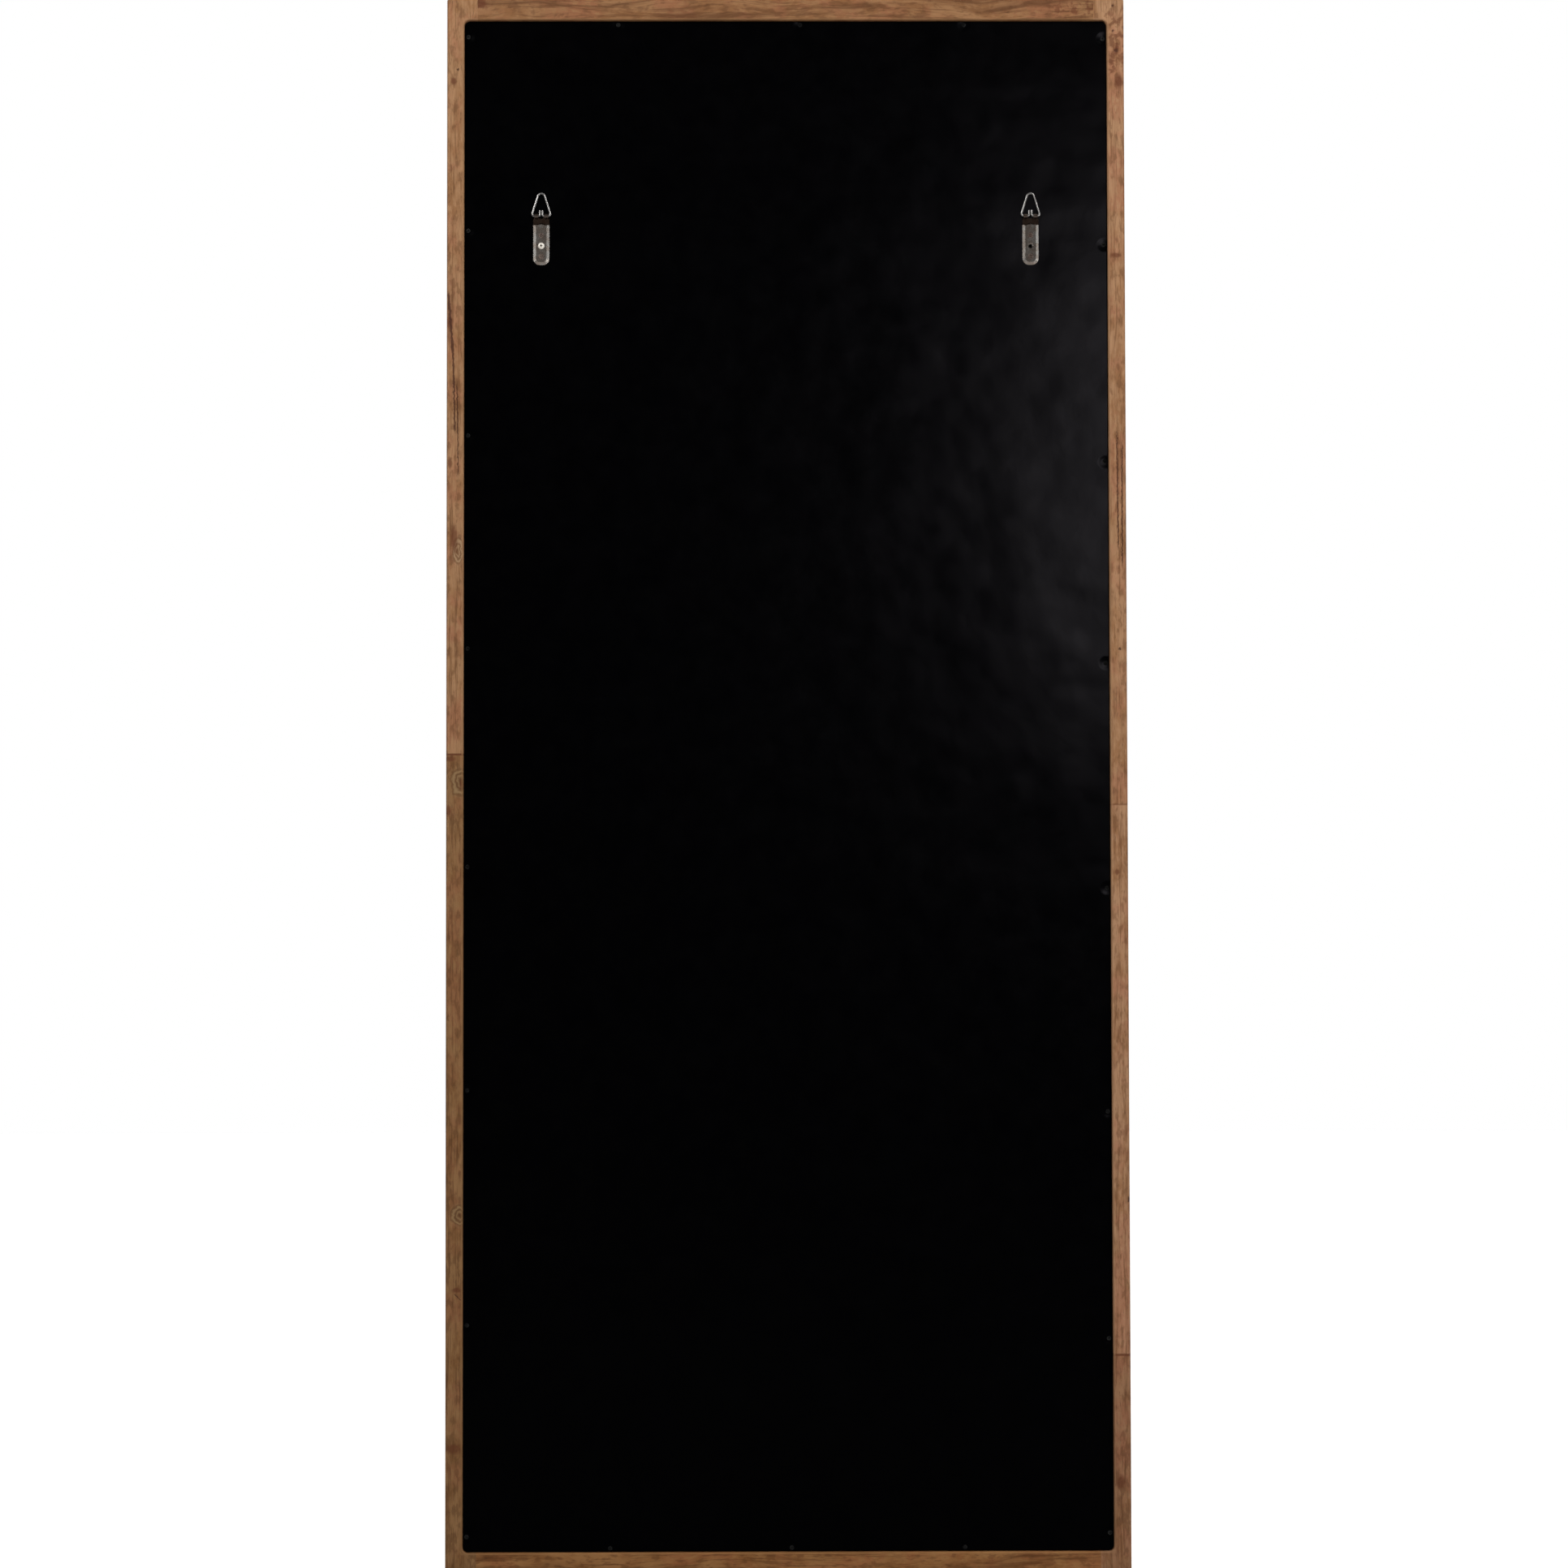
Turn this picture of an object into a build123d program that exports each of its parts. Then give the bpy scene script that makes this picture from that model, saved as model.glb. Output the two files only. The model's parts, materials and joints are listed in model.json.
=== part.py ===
from build123d import *
import math
import os

# A tall floor mirror in a solid wood frame. All sizes are millimetres.
# It stands on Z = 0 with the glass facing -Y and the back facing +Y.
# Left and right are those of a person looking into the glass, so left is -X.

# Frame
WIDTH = 800.0
HEIGHT = 1850.0
DEPTH = 38.0
STILE_WIDTH = 36.0
RAIL_HEIGHT = 40.0
OUTER_ARRIS = 1.5
RECESS_ARRIS = 1.2
SIGHT_ARRIS = 2.0
# Heights at which a stile's boards meet end to end
LEFT_SEAMS = (253.0, 896.0)
RIGHT_SEAMS = (956.0,)

# Rebates cut into the back of the frame with one round cutter
SIDE_REVEAL = 20.0
END_REVEAL = 25.0
CUTTER_RADIUS = 6.5
LIP_THICKNESS = 9.0
LIP_OVERLAP = 8.0
CUT_PAST = 2.0

# Loose tenons in the corners and in the stile seams
TENON_LENGTH = 40.0
TENON_WIDTH = 24.0
TENON_THICKNESS = 8.0
TENON_END_GAP = 1.0
GLUE_GAP = 0.05

# Glass, with the strips and pads that it rests against
GLASS_THICKNESS = 5.0
GLASS_GAP = 1.0
GLASS_ARRIS = 0.5
CUSHION_THICKNESS = 1.0
CUSHION_WIDTH = 6.0
CUSHION_GAP = 0.3
SETTING_PAD_LENGTH = 60.0
SETTING_PAD_SPACING = 370.0

# Battens let into the stiles behind the glass
BATTEN_HEIGHT = 45.0
HANGING_BATTEN_HEIGHT = 70.0
BATTEN_END_GAP = 0.3
END_BATTEN_DISTANCE = 60.0
# The side screws, counted from the bottom one as 0, that also hold the ends of two battens
LOWER_BATTEN_SCREW = 2
UPPER_BATTEN_SCREW = 4
FELT_THICKNESS = 1.0
FELT_WIDTH = 30.0
FELT_SIDE_MARGIN = 20.0

# Backing board
BOARD_THICKNESS = 4.0
BOARD_INSET = 6.0
BOARD_GAP = 0.7
BOARD_ARRIS = 0.6

# Countersunk wood screws, drawn with flat sides because there are so many
SCREW_SIDES = 10
SCREW_SHANK_RADIUS = 1.5
SCREW_HEAD_RADIUS = 2.75
BOARD_SCREW_LENGTH = 16.0
SCREW_TIP = 2.5
SCREW_POINT_RADIUS = 0.3
SCREW_CLEARANCE = 0.05
SCREW_INSET = 4.6
SIDE_SCREW_COUNT = 8
SIDE_SCREW_END = 19.0
# The hand-set screws wander from even spacing by these amounts, from bottom to top
LEFT_SCREW_DRIFT = (2.0, -24.0, -11.0, -1.0, 12.0, -2.0, 4.0, -2.0)
RIGHT_SCREW_DRIFT = (-1.0, -7.0, 15.0, 25.0, 30.0, 30.0, 21.0, 0.0)
TOP_SCREW_X = (-211.0, -17.0, 198.0)
BOTTOM_SCREW_X = (-206.0, -4.0, 208.0)

# Hanger straps, measured from the axis on which the ring swings
HANGER_SPACING = 578.0
HANGER_DROP = 257.5
STRAP_WIDTH = 19.0
STRAP_SHEET = 1.2
STRAP_RISE = 2.4
STRAP_BEVEL = 3.2
STRAP_END = 58.0
STRAP_END_RADIUS = 8.0
STRAP_SHOULDER = 9.6
STRAP_PEAK = 6.4
STRAP_HOLE_FIRST = 23.2
STRAP_HOLE_PITCH = 12.5
STRAP_HOLE_COUNT = 3
NECK_CORNER = 3.6
NECK_TOP = 2.3
FINGER_WIDTH = 4.7
SLOT_DEPTH = 3.0
SLOT_RADIUS = 2.5
CURL_END_ANGLE = 200.0
HANGER_SHANK_RADIUS = 1.75
HANGER_HEAD_RADIUS = 3.4
HANGER_SCREW_LENGTH = 15.0
PAN_HEAD_RADIUS = 4.0
PAN_HEAD_HEIGHT = 2.2
PAN_HEAD_TOP_RADIUS = 2.6

# Hanger rings, bent from one wire with its two ends turned up between the fingers.
# The wire is drawn with flat sides, its corners on the radius, and its bends in short straight steps.
WIRE_RADIUS = 1.35
WIRE_SIDES = 12
BEND_STEP = 15.0
RING_WIDTH = 24.0
RING_HEIGHT = 28.1
RING_CORNER_RADIUS = 2.2
RING_TOP_RADIUS = 4.3
RING_END_RISE = 6.7
RING_END_GAP = 0.4
RING_END_BEND = 1.6
RING_BORE_CLEARANCE = 0.08
RING_SIDE_CLEARANCE = 0.25
RING_BOARD_GAP = 0.3

# Depths of the layers, from the front to the back
FRONT = -DEPTH / 2
BACK = DEPTH / 2
LIP_BACK = FRONT + LIP_THICKNESS
GLASS_FRONT = LIP_BACK + CUSHION_THICKNESS
GLASS_BACK = GLASS_FRONT + GLASS_THICKNESS
BATTEN_FRONT = GLASS_BACK + FELT_THICKNESS
BOARD_BACK = BACK - BOARD_INSET
LEDGE = BOARD_BACK - BOARD_THICKNESS

# Openings, all centred on the frame
SIGHT_WIDTH = WIDTH - 2 * STILE_WIDTH
SIGHT_HEIGHT = HEIGHT - 2 * RAIL_HEIGHT
POCKET_WIDTH = SIGHT_WIDTH + 2 * LIP_OVERLAP
POCKET_HEIGHT = SIGHT_HEIGHT + 2 * LIP_OVERLAP
RECESS_WIDTH = WIDTH - 2 * SIDE_REVEAL
RECESS_HEIGHT = HEIGHT - 2 * END_REVEAL
MIDDLE_Z = HEIGHT / 2

# Ring geometry on the wire's centre line
RING_BORE_RADIUS = WIRE_RADIUS + RING_BORE_CLEARANCE
KNUCKLE_RADIUS = RING_BORE_RADIUS + STRAP_SHEET
RING_HALF_WIDTH = RING_WIDTH / 2 - WIRE_RADIUS
RING_TOP = RING_HEIGHT - WIRE_RADIUS
RING_CORNER_X = RING_HALF_WIDTH - RING_CORNER_RADIUS
RING_TOP_CENTRE = RING_TOP - RING_TOP_RADIUS
RING_END_X = RING_END_GAP / 2 + WIRE_RADIUS
FINGER_OUTER = RING_CORNER_X - RING_SIDE_CLEARANCE
FINGER_INNER = FINGER_OUTER - FINGER_WIDTH
RING_LEAN = math.degrees(math.asin((KNUCKLE_RADIUS - WIRE_RADIUS - RING_BOARD_GAP) / RING_TOP))
PIVOT_Z = HEIGHT - HANGER_DROP
STRAP_HOLES = [STRAP_HOLE_FIRST + STRAP_HOLE_PITCH * n for n in range(STRAP_HOLE_COUNT)]

# Heights of the side screws, from the bottom one up
FIRST_SCREW_Z = END_REVEAL + SIDE_SCREW_END
SCREW_PITCH = (HEIGHT - 2 * FIRST_SCREW_Z) / (SIDE_SCREW_COUNT - 1)
EVEN_SCREW_HEIGHTS = [FIRST_SCREW_Z + SCREW_PITCH * n for n in range(SIDE_SCREW_COUNT)]
LEFT_SCREW_HEIGHTS = [z + drift for z, drift in zip(EVEN_SCREW_HEIGHTS, LEFT_SCREW_DRIFT)]
RIGHT_SCREW_HEIGHTS = [z + drift for z, drift in zip(EVEN_SCREW_HEIGHTS, RIGHT_SCREW_DRIFT)]
SCREW_PAIR_HEIGHTS = [(left + right) / 2 for left, right in zip(LEFT_SCREW_HEIGHTS, RIGHT_SCREW_HEIGHTS)]

# Battens: name, centre height, height
BATTENS = {
    "bottom_batten": (END_BATTEN_DISTANCE, BATTEN_HEIGHT),
    "lower_batten": (SCREW_PAIR_HEIGHTS[LOWER_BATTEN_SCREW], BATTEN_HEIGHT),
    "upper_batten": (SCREW_PAIR_HEIGHTS[UPPER_BATTEN_SCREW], BATTEN_HEIGHT),
    "hanging_batten": (PIVOT_Z - STRAP_HOLES[1], HANGING_BATTEN_HEIGHT),
    "top_batten": (HEIGHT - END_BATTEN_DISTANCE, BATTEN_HEIGHT),
}


def block(x_low, x_high, y_low, y_high, z_low, z_high):
    """A plain box between the given faces."""
    middle = Pos((x_low + x_high) / 2, (y_low + y_high) / 2, (z_low + z_high) / 2)
    return middle * Box(x_high - x_low, y_high - y_low, z_high - z_low)


def slab(width, height, y_low, y_high, radius=0.0):
    """An upright slab centred on the frame, with round corners when a radius is given."""
    outline = RectangleRounded(width, height, radius) if radius else Rectangle(width, height)
    return Pos(0, y_high, MIDDLE_Z) * Rot(90, 0, 0) * extrude(outline, y_high - y_low)


def frame_blank():
    """The whole frame before its members are parted: rebates, sight opening and eased edges."""
    blank = chamfer(block(-WIDTH / 2, WIDTH / 2, FRONT, BACK, 0, HEIGHT).edges(), OUTER_ARRIS)
    blank -= slab(RECESS_WIDTH, RECESS_HEIGHT, LEDGE, BACK + CUT_PAST, CUTTER_RADIUS)
    blank -= slab(POCKET_WIDTH, POCKET_HEIGHT, LIP_BACK, LEDGE, CUTTER_RADIUS)
    blank -= slab(SIGHT_WIDTH, SIGHT_HEIGHT, FRONT - CUT_PAST, LIP_BACK)
    faces = blank.faces().sort_by(Axis.Y)
    blank = chamfer(faces[-1].inner_wires()[0].edges(), RECESS_ARRIS)
    front = blank.faces().sort_by(Axis.Y)[0]
    return chamfer(front.inner_wires()[0].edges(), SIGHT_ARRIS)


def frame_members():
    """The pieces of wood that the frame is joined from, each with the region that it fills."""
    inner = WIDTH / 2 - STILE_WIDTH
    members = {
        "bottom_rail": (-inner, inner, 0, RAIL_HEIGHT),
        "top_rail": (-inner, inner, HEIGHT - RAIL_HEIGHT, HEIGHT),
    }
    left = (0, *LEFT_SEAMS, HEIGHT)
    for name, low, high in zip(("lower", "middle", "upper"), left, left[1:]):
        members[f"left_stile_{name}"] = (-WIDTH / 2, -inner, low, high)
    right = (0, *RIGHT_SEAMS, HEIGHT)
    for name, low, high in zip(("lower", "upper"), right, right[1:]):
        members[f"right_stile_{name}"] = (inner, WIDTH / 2, low, high)
    return members


def tenon(grow=0.0, longer=0.0):
    """A loose tenon with its length along Z and its thickness along X, or its mortises when grown."""
    return Box(TENON_THICKNESS + 2 * grow, TENON_WIDTH + 2 * grow, TENON_LENGTH + 2 * longer)


def corner_tenon_seats():
    """Where the corner tenons lie: across the joint of rail and stile, beyond the recess."""
    inner = WIDTH / 2 - STILE_WIDTH
    heights = (END_REVEAL / 2, HEIGHT - END_REVEAL / 2)
    return [Pos(x, 0, z) * Rot(0, 90, 0) for x in (-inner, inner) for z in heights]


def stile_tenon_seats():
    """Where the seam tenons lie: along the stile, beside the recess."""
    centre = WIDTH / 2 - SIDE_REVEAL / 2
    seams = [(-centre, z) for z in LEFT_SEAMS] + [(centre, z) for z in RIGHT_SEAMS]
    return [Pos(x, 0, z) for x, z in seams]


def taper(radius, end_radius, height):
    """A prism or a tapering cone up +Z with the screws' flat sides."""
    sides = RegularPolygon(radius, SCREW_SIDES)
    slope = math.atan2((radius - end_radius) * math.cos(math.pi / SCREW_SIDES), height)
    return extrude(sides, height, taper=math.degrees(slope))


def point_down(form):
    """Turns a form built up +Z so that it points down -Z."""
    return Rot(180, 0, 0) * form


def screw_shank(radius, length):
    """The shank and point of a screw, down -Z from its seat at Z = 0."""
    straight = length - SCREW_TIP
    point = Pos(0, 0, straight) * taper(radius, SCREW_POINT_RADIUS, SCREW_TIP)
    return point_down(taper(radius, radius, straight) + point)


def flat_screw(shank_radius, head_radius, length):
    """A countersunk screw, down -Z from its flat head at Z = 0."""
    head = point_down(taper(head_radius, shank_radius, head_radius - shank_radius))
    return head + screw_shank(shank_radius, length)


def screw_hole(shank_radius, head_radius, length):
    """The hole for a countersunk screw, down -Z from its mouth at Z = 0."""
    head = head_radius + SCREW_CLEARANCE
    shank = shank_radius + SCREW_CLEARANCE
    mouth = taper(head, head, CUT_PAST)
    countersink = point_down(taper(head, shank, head - shank))
    return mouth + countersink + point_down(taper(shank, shank, length + SCREW_CLEARANCE))


def pan_screw():
    """The pan-head screw of a hanger, its head standing on Z = 0."""
    head = taper(PAN_HEAD_RADIUS, PAN_HEAD_TOP_RADIUS, PAN_HEAD_HEIGHT)
    return head + screw_shank(HANGER_SHANK_RADIUS, HANGER_SCREW_LENGTH)


def from_behind(x, y, z):
    """Places a form so that its own +Z points out of the back and its own +Y points up."""
    return Pos(x, y, z) * Rot(0, 0, 180) * Rot(90, 0, 0)


def board_screw_seats():
    """Where the screws round the backing board have their heads."""
    side = RECESS_WIDTH / 2 - SCREW_INSET
    end = RECESS_HEIGHT / 2 - SCREW_INSET
    places = [(-side, z) for z in LEFT_SCREW_HEIGHTS]
    places += [(side, z) for z in RIGHT_SCREW_HEIGHTS]
    places += [(x, MIDDLE_Z + end) for x in TOP_SCREW_X]
    places += [(x, MIDDLE_Z - end) for x in BOTTOM_SCREW_X]
    return [from_behind(x, BOARD_BACK, z) for x, z in places]


def hanger_seat(side):
    """The point on the board right under a ring's axis."""
    return from_behind(side * HANGER_SPACING / 2, BOARD_BACK, PIVOT_Z)


def hanger_hole_seats(side):
    """The mouths of a strap's holes, from the top one down."""
    return [hanger_seat(side) * Pos(0, -drop, STRAP_RISE) for drop in STRAP_HOLES]


def batten(z, height):
    """A batten across the back of the glass, its ends let into both stiles."""
    half = RECESS_WIDTH / 2 - BATTEN_END_GAP
    return block(-half, half, BATTEN_FRONT, LEDGE, z - height / 2, z + height / 2)


def batten_housing(z, height):
    """The notches that one batten's ends sit in."""
    half = RECESS_WIDTH / 2
    return block(-half, half, BATTEN_FRONT, LEDGE + CUT_PAST, z - height / 2, z + height / 2)


def glass():
    """The mirror plate, loose in its pocket by the glass gap all round."""
    width = POCKET_WIDTH - 2 * GLASS_GAP
    height = POCKET_HEIGHT - 2 * GLASS_GAP
    plate = slab(width, height, GLASS_FRONT, GLASS_BACK, CUTTER_RADIUS - GLASS_GAP)
    faces = plate.faces().sort_by(Axis.Y)
    return chamfer(faces[0].edges() + faces[-1].edges(), GLASS_ARRIS)


def glass_cushions():
    """Soft strips between the frame's lip and the glass."""
    edge = (LIP_OVERLAP - CUSHION_WIDTH) / 2
    side = POCKET_WIDTH / 2 - edge
    end = POCKET_HEIGHT / 2 - edge
    tall = POCKET_HEIGHT / 2 - CUTTER_RADIUS
    wide = side - CUSHION_WIDTH - CUSHION_GAP
    strips = []
    for x in (-side, side - CUSHION_WIDTH):
        strips.append(block(x, x + CUSHION_WIDTH, LIP_BACK, GLASS_FRONT, MIDDLE_Z - tall, MIDDLE_Z + tall))
    for z in (MIDDLE_Z - end, MIDDLE_Z + end - CUSHION_WIDTH):
        strips.append(block(-wide, wide, LIP_BACK, GLASS_FRONT, z, z + CUSHION_WIDTH))
    return strips


def setting_pads():
    """Pads under the lower edge of the glass."""
    low = MIDDLE_Z - POCKET_HEIGHT / 2
    half = SETTING_PAD_LENGTH / 2
    return [block(x - half, x + half, GLASS_FRONT, GLASS_BACK, low, low + GLASS_GAP)
            for x in (-SETTING_PAD_SPACING / 2, SETTING_PAD_SPACING / 2)]


def batten_felts():
    """Felt strips between the glass and each batten."""
    half = SIGHT_WIDTH / 2 - FELT_SIDE_MARGIN
    return [block(-half, half, GLASS_BACK, BATTEN_FRONT, z - FELT_WIDTH / 2, z + FELT_WIDTH / 2)
            for z, _ in BATTENS.values()]


def backing_board():
    """The thin board screwed into the recess from behind."""
    width = RECESS_WIDTH - 2 * BOARD_GAP
    height = RECESS_HEIGHT - 2 * BOARD_GAP
    board = slab(width, height, LEDGE, BOARD_BACK, CUTTER_RADIUS - BOARD_GAP)
    return chamfer(board.faces().sort_by(Axis.Y)[-1].edges(), BOARD_ARRIS)


def strap_outline():
    """The raised part of a strap seen from behind: a peaked top and a rounded lower end."""
    half = STRAP_WIDTH / 2
    tip = STRAP_END - STRAP_END_RADIUS
    flat = half - STRAP_END_RADIUS
    shoulder = -STRAP_SHOULDER
    outline = [
        Polyline((half, -tip), (half, shoulder), (0, -STRAP_PEAK), (-half, shoulder), (-half, -tip)),
        CenterArc((-flat, -tip), STRAP_END_RADIUS, 180, 90),
        Line((-flat, -STRAP_END), (flat, -STRAP_END)),
        CenterArc((flat, -tip), STRAP_END_RADIUS, 270, 90),
    ]
    return make_face(outline)


def strap_neck():
    """The flat sheet between the raised part and the two fingers, with the slot for the wire's ends."""
    half = STRAP_WIDTH / 2
    low = STRAP_SHOULDER + STRAP_SHEET
    right = [(half, -low), (half, -NECK_CORNER), (FINGER_OUTER, -NECK_TOP), (FINGER_OUTER, 0)]
    left = [(-x, y) for x, y in reversed(right)]
    sheet = make_face(Polyline(*right, *left, close=True))
    slot = Rectangle(2 * FINGER_INNER, 2 * SLOT_DEPTH)
    slot = fillet(slot.vertices().sort_by(Axis.Y)[:2], SLOT_RADIUS)
    return extrude(sheet - slot, STRAP_SHEET)


def strap_fingers():
    """Two fingers of the sheet, curled round the ring's lower bar."""
    start = -90.0
    turn = CURL_END_ANGLE - start
    outer = CenterArc((0, KNUCKLE_RADIUS), KNUCKLE_RADIUS, start, turn)
    inner = CenterArc((0, KNUCKLE_RADIUS), RING_BORE_RADIUS, start, turn)
    section = make_face([outer, inner, Line(outer @ 0, inner @ 0), Line(outer @ 1, inner @ 1)])
    curl = extrude(Plane.YZ * section, FINGER_WIDTH)
    return [Pos(x, 0, 0) * curl for x in (FINGER_INNER, -FINGER_OUTER)]


def strap():
    """A hanger strap lying on the board, with the ring's axis above its origin."""
    base = strap_outline()
    slope = math.degrees(math.atan2(STRAP_BEVEL, STRAP_RISE))
    shell = extrude(base, STRAP_RISE, taper=slope)
    hollow = extrude(offset(base, -STRAP_SHEET), STRAP_RISE - STRAP_SHEET, taper=slope)
    countersink = Cone(HANGER_HEAD_RADIUS - STRAP_SHEET, HANGER_HEAD_RADIUS, STRAP_SHEET)
    holes = [Pos(0, -drop, STRAP_RISE - STRAP_SHEET / 2) * countersink for drop in STRAP_HOLES]
    return shell - hollow + strap_neck() + strap_fingers() - holes


def ring_half():
    """The lines and bends of the wire's right half, with the swing axis along X through the origin."""
    rise = RING_TOP_CENTRE - RING_CORNER_RADIUS
    span = math.hypot(RING_CORNER_X, rise)
    lean = math.atan2(RING_CORNER_X, rise) - math.asin((RING_TOP_RADIUS - RING_CORNER_RADIUS) / span)
    side = Vector(math.cos(lean), math.sin(lean))
    corner = Vector(RING_CORNER_X, RING_CORNER_RADIUS)
    top = Vector(0, RING_TOP_CENTRE)
    angle = math.degrees(lean)
    bend = RING_END_X + RING_END_BEND
    return [
        Line((RING_END_X, RING_END_RISE), (RING_END_X, RING_END_BEND)),
        CenterArc((bend, RING_END_BEND), RING_END_BEND, 180, 90),
        Line((bend, 0), (RING_CORNER_X, 0)),
        CenterArc(corner, RING_CORNER_RADIUS, 270, 90 + angle),
        Line(corner + side * RING_CORNER_RADIUS, top + side * RING_TOP_RADIUS),
        CenterArc(top, RING_TOP_RADIUS, angle, 90 - angle),
    ]


def ring_path():
    """The wire's whole centre line in straight steps, from one upturned end round to the other."""
    points = [Vector(RING_END_X, RING_END_RISE)]
    for edge in ring_half():
        steps = 1
        if edge.geom_type == GeomType.CIRCLE:
            steps = math.ceil(math.degrees(edge.length / edge.radius) / BEND_STEP)
        points += [edge @ (step / steps) for step in range(1, steps + 1)]
    other_half = [Vector(-point.X, point.Y) for point in reversed(points[:-1])]
    return Polyline(*points, *other_half)


def ring():
    """One hanger ring, standing up and leaning towards the board until it nearly touches."""
    end = Pos(RING_END_X, RING_END_RISE) * Rot(90, 0, 0)
    wire = sweep(end * RegularPolygon(WIRE_RADIUS, WIRE_SIDES), ring_path(), transition=Transition.RIGHT)
    return Pos(0, 0, KNUCKLE_RADIUS) * Rot(-RING_LEAN, 0, 0) * wire


def main():
    os.makedirs("parts", exist_ok=True)
    blank = frame_blank()
    tenon_seats = corner_tenon_seats() + stile_tenon_seats()
    mortises = [seat * tenon(GLUE_GAP, TENON_END_GAP) for seat in tenon_seats]
    board_screw = (SCREW_SHANK_RADIUS, SCREW_HEAD_RADIUS, BOARD_SCREW_LENGTH)
    hanger_screw = (HANGER_SHANK_RADIUS, HANGER_HEAD_RADIUS, HANGER_SCREW_LENGTH)
    board_holes = [seat * screw_hole(*board_screw) for seat in board_screw_seats()]
    hanger_seats = hanger_hole_seats(-1) + hanger_hole_seats(1)
    hanger_holes = [seat * screw_hole(*hanger_screw) for seat in hanger_seats]
    housings = [batten_housing(*batten_size) for batten_size in BATTENS.values()]

    pieces = {}
    for name, (x_low, x_high, z_low, z_high) in frame_members().items():
        member = blank & block(x_low, x_high, FRONT, BACK, z_low, z_high)
        pieces[name] = member - housings - mortises - board_holes
    for name, batten_size in BATTENS.items():
        pieces[name] = batten(*batten_size) - board_holes - hanger_holes
    pieces["corner_tenons"] = [seat * tenon() for seat in corner_tenon_seats()]
    pieces["stile_tenons"] = [seat * tenon() for seat in stile_tenon_seats()]
    pieces["mirror_glass"] = glass()
    pieces["glass_cushions"] = glass_cushions()
    pieces["setting_pads"] = setting_pads()
    pieces["batten_felts"] = batten_felts()
    pieces["backing_board"] = backing_board() - board_holes - hanger_holes
    pieces["board_screws"] = [seat * flat_screw(*board_screw) for seat in board_screw_seats()]
    for side, word in ((-1, "left"), (1, "right")):
        top, middle, bottom = hanger_hole_seats(side)
        screws = [seat * flat_screw(*hanger_screw) for seat in (top, bottom)]
        if word == "right":
            screws.append(middle * pan_screw())
        pieces[f"{word}_hanger_screws"] = screws
        pieces[f"{word}_hanger_strap"] = hanger_seat(side) * strap()
        pieces[f"{word}_hanger_ring"] = hanger_seat(side) * ring()
    for name, shape in pieces.items():
        solids = Compound(shape) if isinstance(shape, list) else shape
        export_step(solids, f"parts/{name}.step")


main()
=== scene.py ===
# %% [markdown]
# # A tall floor mirror, seen from behind
# The real object is a slim wooden frame with a glass in front and a black board let into its back.
# Two strap hangers with wire rings are screwed on near the top.
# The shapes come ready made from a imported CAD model, which this script loads and never moves.
# Here the pieces get their finishes, and the few that need rounder forms are made anew.

# %% Load the frame
import json
import math

import bmesh
import bpy
from mathutils import Matrix, Vector


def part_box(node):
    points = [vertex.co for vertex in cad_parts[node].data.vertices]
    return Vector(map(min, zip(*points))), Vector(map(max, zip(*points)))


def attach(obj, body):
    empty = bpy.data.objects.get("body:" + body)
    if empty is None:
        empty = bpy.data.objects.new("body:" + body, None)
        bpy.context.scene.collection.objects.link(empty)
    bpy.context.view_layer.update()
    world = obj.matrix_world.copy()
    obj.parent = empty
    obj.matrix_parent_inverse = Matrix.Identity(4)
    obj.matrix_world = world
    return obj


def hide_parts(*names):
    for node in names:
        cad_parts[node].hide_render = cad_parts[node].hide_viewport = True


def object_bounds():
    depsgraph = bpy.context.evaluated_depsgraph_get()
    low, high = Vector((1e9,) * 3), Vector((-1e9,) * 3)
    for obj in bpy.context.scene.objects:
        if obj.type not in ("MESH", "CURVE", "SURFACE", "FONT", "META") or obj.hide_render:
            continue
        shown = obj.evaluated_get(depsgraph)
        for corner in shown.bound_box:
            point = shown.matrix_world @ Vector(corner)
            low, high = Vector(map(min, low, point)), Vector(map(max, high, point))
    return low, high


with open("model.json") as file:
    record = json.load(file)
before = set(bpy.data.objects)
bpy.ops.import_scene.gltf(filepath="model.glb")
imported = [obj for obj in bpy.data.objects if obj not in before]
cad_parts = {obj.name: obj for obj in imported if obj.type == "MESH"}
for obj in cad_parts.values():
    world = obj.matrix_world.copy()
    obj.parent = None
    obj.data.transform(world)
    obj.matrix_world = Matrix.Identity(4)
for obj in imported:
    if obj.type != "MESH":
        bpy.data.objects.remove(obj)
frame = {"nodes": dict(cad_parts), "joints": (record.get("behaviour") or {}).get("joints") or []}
cad_bounds = [list(corner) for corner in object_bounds()]
print("CAD box", cad_bounds)

# %% [markdown]
# ## Sizes that several pieces share
# Blender works in metres, so a millimetre gets a name of its own and small sizes stay readable.
# The places of the board, the ring axes and the screws are read from the loaded frame.
# Typing them in again would work too, but then a change in the CAD model would leave them behind.

# %% Shared sizes
MM = 0.001
board_low, board_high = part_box("backing_board")
FRAME_BACK = cad_bounds[1][1]
BOARD_BACK = board_high.y
BOARD_GAP = 0.7 * MM
RECESS_SIDE = board_high.x + BOARD_GAP
RECESS_LOW = board_low.z - BOARD_GAP
RECESS_TOP = board_high.z + BOARD_GAP
ring_axes = {joint["child"]: Vector(joint["pos_m"]) for joint in frame["joints"]}
print("board at", round(BOARD_BACK, 4), "ring axes", {name: tuple(p) for name, p in ring_axes.items()})

# %% [markdown]
# ## Camera
# The photograph was taken from a little over four metres, about level with the middle of the frame.
# A camera can be placed by eye, but fitting it to the corners of the frame and of the board is surer.
# The fit gave a place and three small turns, which are combined here into one rotation.

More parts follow.
